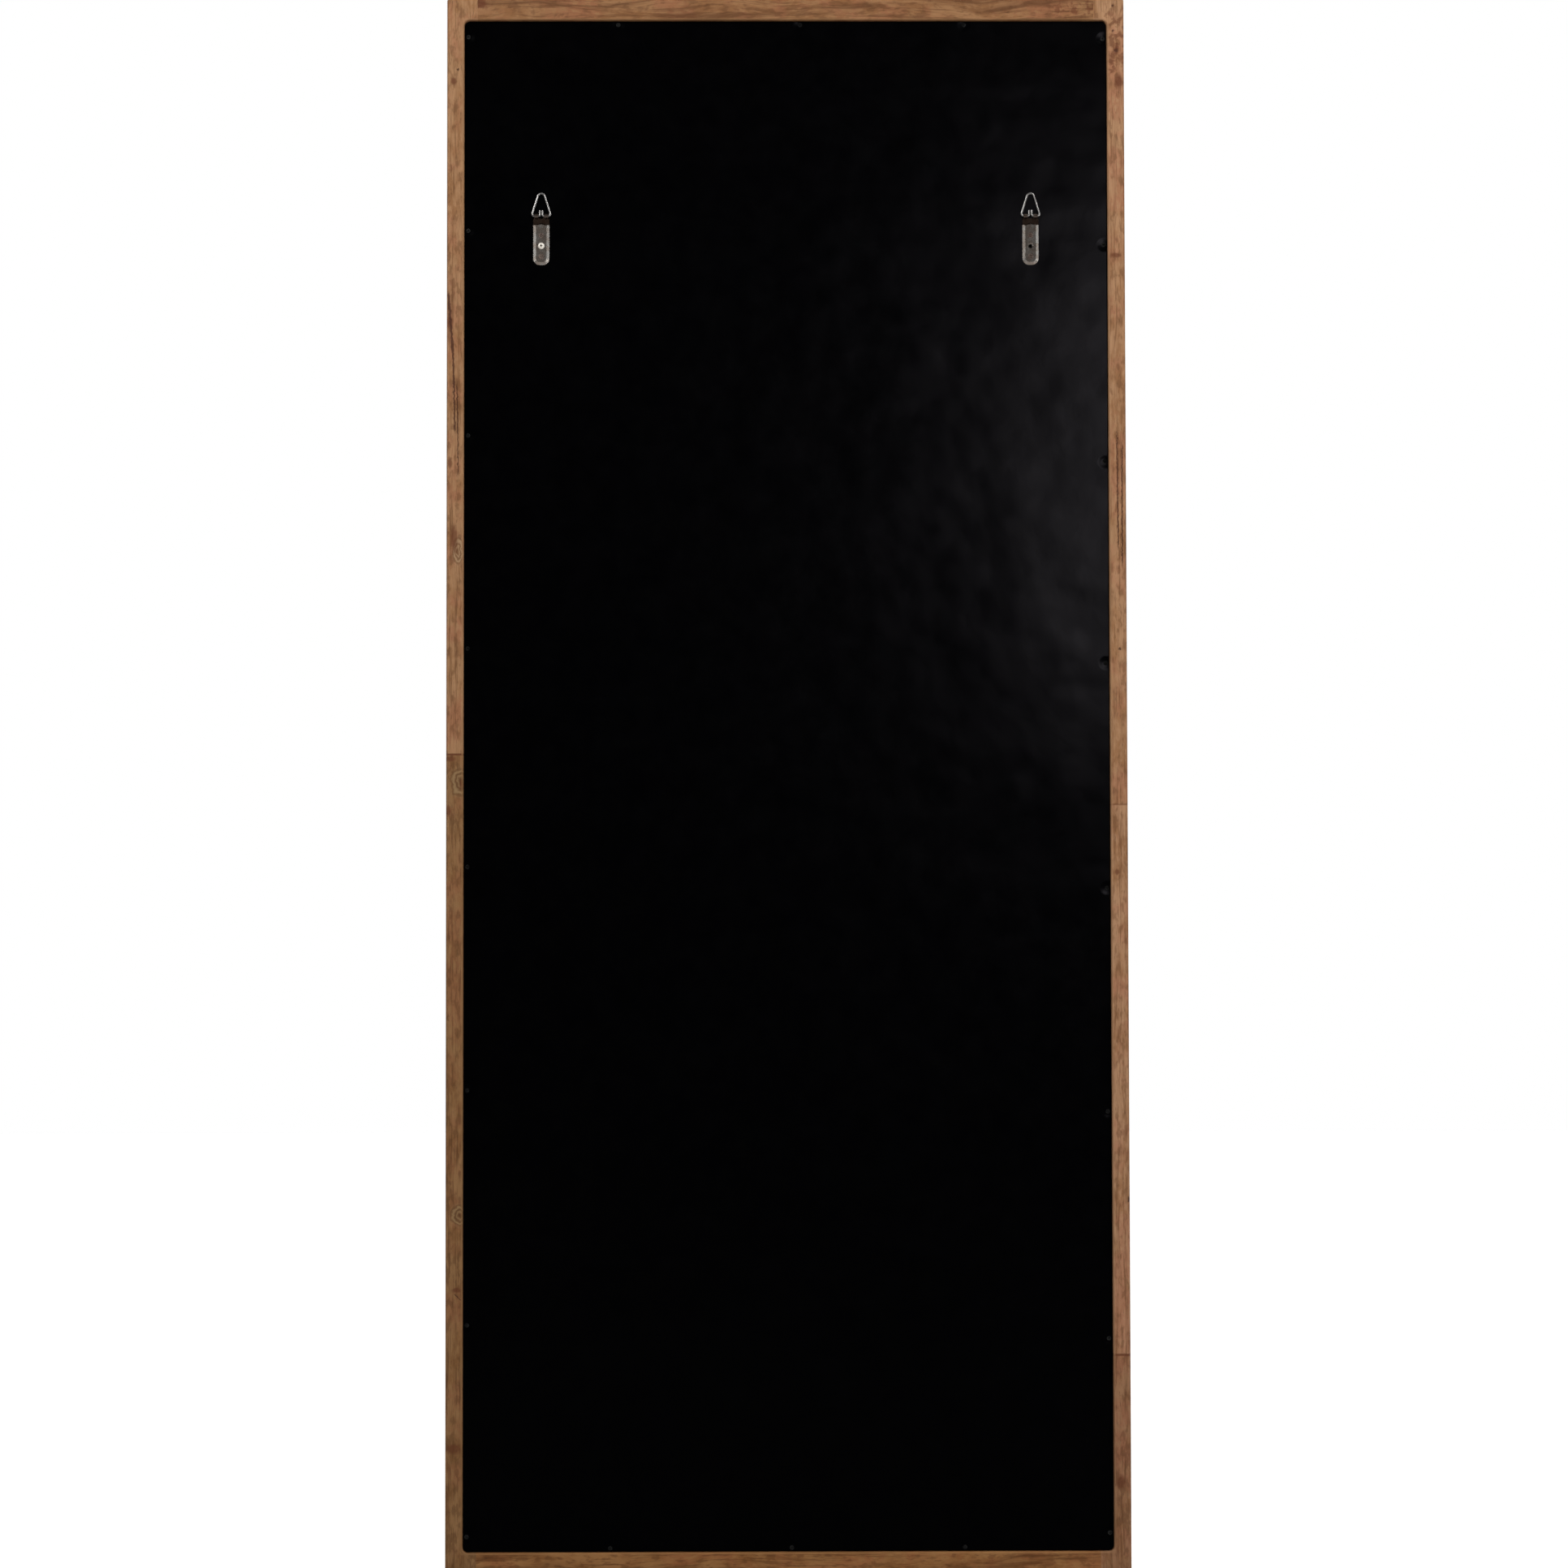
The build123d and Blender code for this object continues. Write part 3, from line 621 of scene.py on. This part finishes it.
def finish_piece(name, mesh, material, body, slot, *replaced):
    """Makes an object of a bmesh, shades it smooth, ties it to its body, and hides the CAD pieces it
    replaces.
    """
    bmesh.ops.remove_doubles(mesh, verts=mesh.verts, dist=0.002 * MM)
    bmesh.ops.recalc_face_normals(mesh, faces=mesh.faces)
    data = bpy.data.meshes.new(name)
    mesh.to_mesh(data)
    mesh.free()
    piece = bpy.data.objects.new(name, data)
    bpy.context.scene.collection.objects.link(piece)
    data.materials.append(material)
    data.shade_smooth()
    data.set_sharp_from_angle(angle=SHARP_ANGLE)
    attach(piece, body)
    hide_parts(*replaced)
    print(name, "faces", len(data.polygons))
    return piece


def only(kind, geometry):
    """The vertices or the edges among a bmesh operator's results."""
    return [item for item in geometry if isinstance(item, kind)]


def extrude_end(mesh, edges, step, grow=1.0):
    """Extrudes an open end by one step, and widens it if asked. Returns the new end."""
    grown = bmesh.ops.extrude_edge_only(mesh, edges=edges)["geom"]
    verts = only(bmesh.types.BMVert, grown)
    middle = sum((vertex.co for vertex in verts), Vector()) / len(verts)
    bmesh.ops.scale(mesh, verts=verts, vec=(grow, grow, grow), space=Matrix.Translation(-middle))
    bmesh.ops.translate(mesh, verts=verts, vec=step)
    return [edge for edge in only(bmesh.types.BMEdge, grown)
            if all(vertex in verts for vertex in edge.verts)]


def bend_end(mesh, edges, centre, angle, steps):
    """Spins an open end round a bend in the ring's own plane. Returns the new end."""
    verts = list({vertex for edge in edges for vertex in edge.verts})
    spun = bmesh.ops.spin(mesh, geom=verts + edges, cent=centre, axis=(0, -1, 0), dvec=(0, 0, 0),
                          angle=angle, steps=steps, use_merge=False, use_duplicate=False)
    return only(bmesh.types.BMEdge, spun["geom_last"])

# %% The ring
WIRE_RADIUS = 1.35 * MM
WIRE_SIDES = 20
END_X = 1.55 * MM
END_RISE = 6.7 * MM
END_BEND = 1.6 * MM
CORNER_X = 8.45 * MM
CORNER_RADIUS = 2.2 * MM
TOP_RADIUS = 4.3 * MM
TOP_CENTRE = 22.45 * MM
RING_LEAN = math.radians(2.1)
END_EASE = 0.25 * MM


def ring_mesh():
    """One ring round its own axis, standing upright."""
    mesh = bmesh.new()
    bmesh.ops.create_circle(mesh, cap_ends=True, segments=WIRE_SIDES, radius=WIRE_RADIUS - END_EASE,
                            matrix=Matrix.Translation((END_X, 0, END_RISE)))
    end = extrude_end(mesh, list(mesh.edges), (0, 0, -END_EASE), WIRE_RADIUS / (WIRE_RADIUS - END_EASE))
    end = extrude_end(mesh, end, (0, 0, END_BEND - END_RISE + END_EASE))
    end = bend_end(mesh, end, (END_X + END_BEND, 0, END_BEND), math.pi / 2, 8)
    end = extrude_end(mesh, end, (CORNER_X - END_X - END_BEND, 0, 0))
    rise = TOP_CENTRE - CORNER_RADIUS
    lean = math.atan2(CORNER_X, rise) - math.asin((TOP_RADIUS - CORNER_RADIUS) / math.hypot(CORNER_X, rise))
    end = bend_end(mesh, end, (CORNER_X, 0, CORNER_RADIUS), math.pi / 2 + lean, 12)
    side = Vector((math.cos(lean), 0, math.sin(lean)))
    leg = Vector((-CORNER_X, 0, rise)) + side * (TOP_RADIUS - CORNER_RADIUS)
    end = extrude_end(mesh, end, leg)
    bend_end(mesh, end, (0, 0, TOP_CENTRE), math.pi / 2 - lean, 10)
    bmesh.ops.mirror(mesh, geom=mesh.verts[:] + mesh.edges[:] + mesh.faces[:], matrix=Matrix.Identity(4),
                     merge_dist=0.01 * MM, axis="X")
    return mesh


for body, axis in ring_axes.items():
    mesh = ring_mesh()
    place = Matrix.Translation(axis) @ Matrix.Rotation(RING_LEAN, 4, "X")
    bmesh.ops.transform(mesh, matrix=place, verts=mesh.verts)
    side = body.split("_")[0]
    ring = finish_piece(f"{side}_wire_ring", mesh, bright_wire, body, "nickel", f"{side}_hanger_ring")
    low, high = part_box(f"{side}_hanger_ring")
    heights = [vertex.co.z for vertex in ring.data.vertices]
    print("ring height", round(max(heights) - min(heights), 5), "CAD", round(high.z - low.z, 5))

# %% [markdown]
# ## The screws
# A countersunk screw has a flat head with a cross recess, a cone under it, a shank and a point.
# Boolean cuts could sink the cross. Here the face between the rim and the cross is filled with
# triangles, and the cross is then extruded down, which leaves a cleaner mesh with far fewer faces. No
# two hand-driven screws stop at the same turn, so each cross is turned by its own angle.

# %% One screw
CROSS_ARM = 0.66
CROSS_WIDTH = 0.22
CROSS_DEPTH = 1.1 * MM
CROSS_TAPER = 0.6
POINT_LENGTH = 2.5 * MM
SCREW_SEGMENTS = 20


def loop_of(mesh, points):
    """A closed loop of edges through the given points."""
    verts = [mesh.verts.new(point) for point in points]
    return [mesh.edges.new((verts[n - 1], verts[n])) for n in range(len(verts))]


def cross_points(radius, z):
    """The twelve corners of a cross."""
    arm, half = radius * CROSS_ARM, radius * CROSS_WIDTH
    corner = [(arm, -half), (arm, half), (half, half)]
    return [Matrix.Rotation(math.radians(90 * quarter), 3, "Z") @ Vector((x, y, z))
            for quarter in range(4) for x, y in corner]


def add_screw(mesh, place, head, profile):
    """Adds one screw with its head's flat at Z = 0, then puts it in place.
    The profile gives the steps from the rim down: each a radius and a depth."""
    fresh = bmesh.new()
    rim = [Vector((head * math.cos(a), head * math.sin(a), 0))
           for a in (math.tau * n / SCREW_SEGMENTS for n in range(SCREW_SEGMENTS))]
    outer = loop_of(fresh, rim)
    cross = loop_of(fresh, cross_points(head, 0))
    bmesh.ops.triangle_fill(fresh, use_beauty=True, edges=outer + cross)
    floor = extrude_end(fresh, cross, (0, 0, -CROSS_DEPTH), CROSS_TAPER)
    bmesh.ops.holes_fill(fresh, edges=floor, sides=12)
    end, radius, depth = outer, head, 0.0
    for next_radius, next_depth in profile:
        end = extrude_end(fresh, end, (0, 0, depth - next_depth), next_radius / radius)
        radius, depth = next_radius, next_depth
    bmesh.ops.holes_fill(fresh, edges=end, sides=SCREW_SEGMENTS)
    bmesh.ops.transform(fresh, matrix=place, verts=fresh.verts)
    scratch = bpy.data.meshes.new("one_screw")
    fresh.to_mesh(scratch)
    fresh.free()
    mesh.from_mesh(scratch)
    bpy.data.meshes.remove(scratch)


def flat_profile(head, shank, length):
    """A countersunk head with an eased rim, a shank and a point."""
    return [(head + 0.10 * MM, 0.10 * MM), (shank, head - shank), (shank, length - POINT_LENGTH),
            (0.3 * MM, length)]


def facing_out(point, spin):
    """Turns a screw so that its head faces out of the back, and spins it round its own axis."""
    return Matrix.Translation(point) @ Matrix.Rotation(-math.pi / 2, 4, "X") @ Matrix.Rotation(spin, 4, "Z")

# %% All the screws
BOARD_HEAD = 2.55 * MM
BOARD_SHANK = 1.4 * MM
BOARD_SCREW = 16 * MM
BOARD_SPIN = 0.9
mesh = bmesh.new()
for number, point in enumerate(board_screws):
    add_screw(mesh, facing_out(point, number * BOARD_SPIN), BOARD_HEAD,
              flat_profile(BOARD_HEAD, BOARD_SHANK, BOARD_SCREW))
finish_piece("board_fixing_screws", mesh, black_steel, "frame", "black_screw", "board_screws")

FLAT_HEAD = 3.1 * MM
HANGER_SHANK = 1.6 * MM
HANGER_SCREW = 15 * MM
FIRST_SPIN, NEXT_SPIN, PAN_SPIN = 0.4, 1.1, 0.1
PAN_HEIGHT = 2.2 * MM
PAN_FLAT = 2.5 * MM
PAN_SLOT = 2.1 * MM
PAN_DOME = [(2.9 * MM, 0.20 * MM), (3.5 * MM, 0.70 * MM), (3.9 * MM, 1.4 * MM), (3.95 * MM, PAN_HEIGHT),
            (HANGER_SHANK, PAN_HEIGHT), (HANGER_SHANK, HANGER_SCREW), (0.3 * MM, HANGER_SCREW + PAN_HEIGHT)]


def recess_dark_mask(middle):
    """A darker colour in the cross recess of the pan head, below its flat."""
    def mask(tree, place):
        away = nearness(tree, place, middle, (PAN_SLOT, 1.0, PAN_SLOT))
        depth = put(tree, "ShaderNodeSeparateXYZ", {0: place}).outputs[1]
        sunk = ramp(tree, depth, middle.y - 0.25 * MM, middle.y - 0.10 * MM, 0.95, 0.0)
        return calc(tree, "MULTIPLY", sunk, ramp(tree, away, 0.8, 1.0, 1.0, 0.0))
    return mask


for side in ("left", "right"):
    node = f"{side}_hanger_screws"
    heads = head_places(node)
    lowest = min(head.y for head in heads)
    flat_heads = [head for head in heads if head.y < lowest + 1 * MM]
    mesh = bmesh.new()
    for number, point in enumerate(flat_heads):
        add_screw(mesh, facing_out(point, FIRST_SPIN + number * NEXT_SPIN), FLAT_HEAD,
                  flat_profile(FLAT_HEAD, HANGER_SHANK, HANGER_SCREW))
    finish_piece(f"{side}_strap_screws", mesh, dull_screw, "frame", "screw_steel", node)
    for point in heads:
        if point not in flat_heads:
            mesh = bmesh.new()
            add_screw(mesh, facing_out(point, PAN_SPIN), PAN_FLAT, PAN_DOME)
            # The pan screw's cross recess is coloured darker below the flat.
            cream_screw = metal_finish("cream_pan_screw", (0.80, 0.74, 0.65), (0.90, 0.85, 0.77), 0.45,
                                       metallic=0.15, darkening=recess_dark_mask(point))
            finish_piece(f"{side}_strap_pan_screw", mesh, cream_screw, "frame", "screw_steel", node)

# %% [markdown]
# ## Light and floor
# The photograph has a pure white ground, light from the upper right, and darkness behind the camera,
# which leaves the board black but for one soft gleam. An even white sky would turn the board grey, so
# the sky is bright only on the glass side, where the mirror wants something pale to show. Soft boxes
# light the back.

# %% Sky
FRONT_SKY = 0.75
BACK_SKY = 0.035

world = bpy.data.worlds.new("studio")
bpy.context.scene.world = world
world.use_nodes = True
sky = world.node_tree
sky_shader = sky.nodes["Background"]
direction = put(sky, "ShaderNodeTexCoord").outputs["Generated"]
towards = put(sky, "ShaderNodeSeparateXYZ", {0: direction}).outputs[1]
glow = ramp(sky, towards, -0.35, 0.15, FRONT_SKY, BACK_SKY)
straight = put(sky, "ShaderNodeLightPath").outputs["Is Camera Ray"]
sky_strength = calc(sky, "MAXIMUM", straight, glow)
sky.links.new(sky_strength, sky_shader.inputs["Strength"])
sky_shader.inputs["Color"].default_value = colour(1, 1, 1)
bpy.context.scene.view_settings.view_transform = "Standard"

# %% Soft boxes
def soft_box(name, place, target, wide, tall, power, tone=(1, 1, 1)):
    """A soft box at a place, turned towards a target."""
    light = bpy.data.lights.new(name, "AREA")
    light.shape = "RECTANGLE"
    light.size, light.size_y = wide, tall
    light.energy = power
    light.color = tone
    lamp = bpy.data.objects.new(name, light)
    bpy.context.scene.collection.objects.link(lamp)
    lamp.location = place
    lamp.rotation_euler = (Vector(target) - Vector(place)).to_track_quat("-Z", "Y").to_euler()
    return lamp


def light_only(lamp, name, nodes):
    """Lets a light fall on the named CAD pieces alone."""
    group = bpy.data.collections.new(name)
    for node in nodes:
        group.objects.link(frame["nodes"][node])
    lamp.light_linking.receiver_collection = group


soft_box("key_box", (-1.3, 1.7, 3.0), (0.0, 0.0, 1.5), 1.0, 0.6, 29)
soft_box("low_right_box", (-2.2, 2.0, 0.9), (0.0, 0.0, 0.9), 0.7, 1.0, 26)
soft_box("left_box", (1.8, 2.2, 2.8), (0.0, 0.0, 1.5), 1.0, 0.8, 53)
soft_box("front_box", (1.2, -3.0, 2.8), (0.0, 0.0, 1.0), 1.6, 1.6, 40)
for name, x in (("side_strip_left", 2.6), ("side_strip_right", -2.6)):
    strip = soft_box(name, (x, 0.75, 1.6), (0.0, 0.0, 1.5), 0.3, 1.6, 4.0, (0.90, 0.96, 1.0))
    light_only(strip, f"lit_by_{name}", ("left_hanger_strap", "right_hanger_strap"))

# %% The gleam on the board
gleam = soft_box("gleam_card", (-0.97, 2.7, 1.66), (-0.3, 0.0, 1.4), 0.80, 0.92, 70, (0.90, 0.84, 0.92))
light_only(gleam, "lit_by_gleam_card", ("backing_board",))

# %% Floor
FLOOR_LIFT = 0.85

mesh = bmesh.new()
bmesh.ops.create_grid(mesh, x_segments=1, y_segments=1, size=9)
floor_data = bpy.data.meshes.new("floor")
mesh.to_mesh(floor_data)
mesh.free()
floor = bpy.data.objects.new("floor", floor_data)
bpy.context.scene.collection.objects.link(floor)
floor_paint, tree, shader, place = start_finish("pale_floor")
speckle = noise(tree, place, 30, detail=3)
feed(tree, shader, Base_Color=blend(tree, speckle, colour(0.48, 0.48, 0.48), colour(0.52, 0.52, 0.52)),
     Roughness=0.9, Emission_Color=colour(1, 1, 1))
lift = calc(tree, "MULTIPLY", put(tree, "ShaderNodeLightPath").outputs["Is Camera Ray"], FLOOR_LIFT)
feed(tree, shader, Emission_Strength=lift)
floor_data.materials.append(floor_paint)
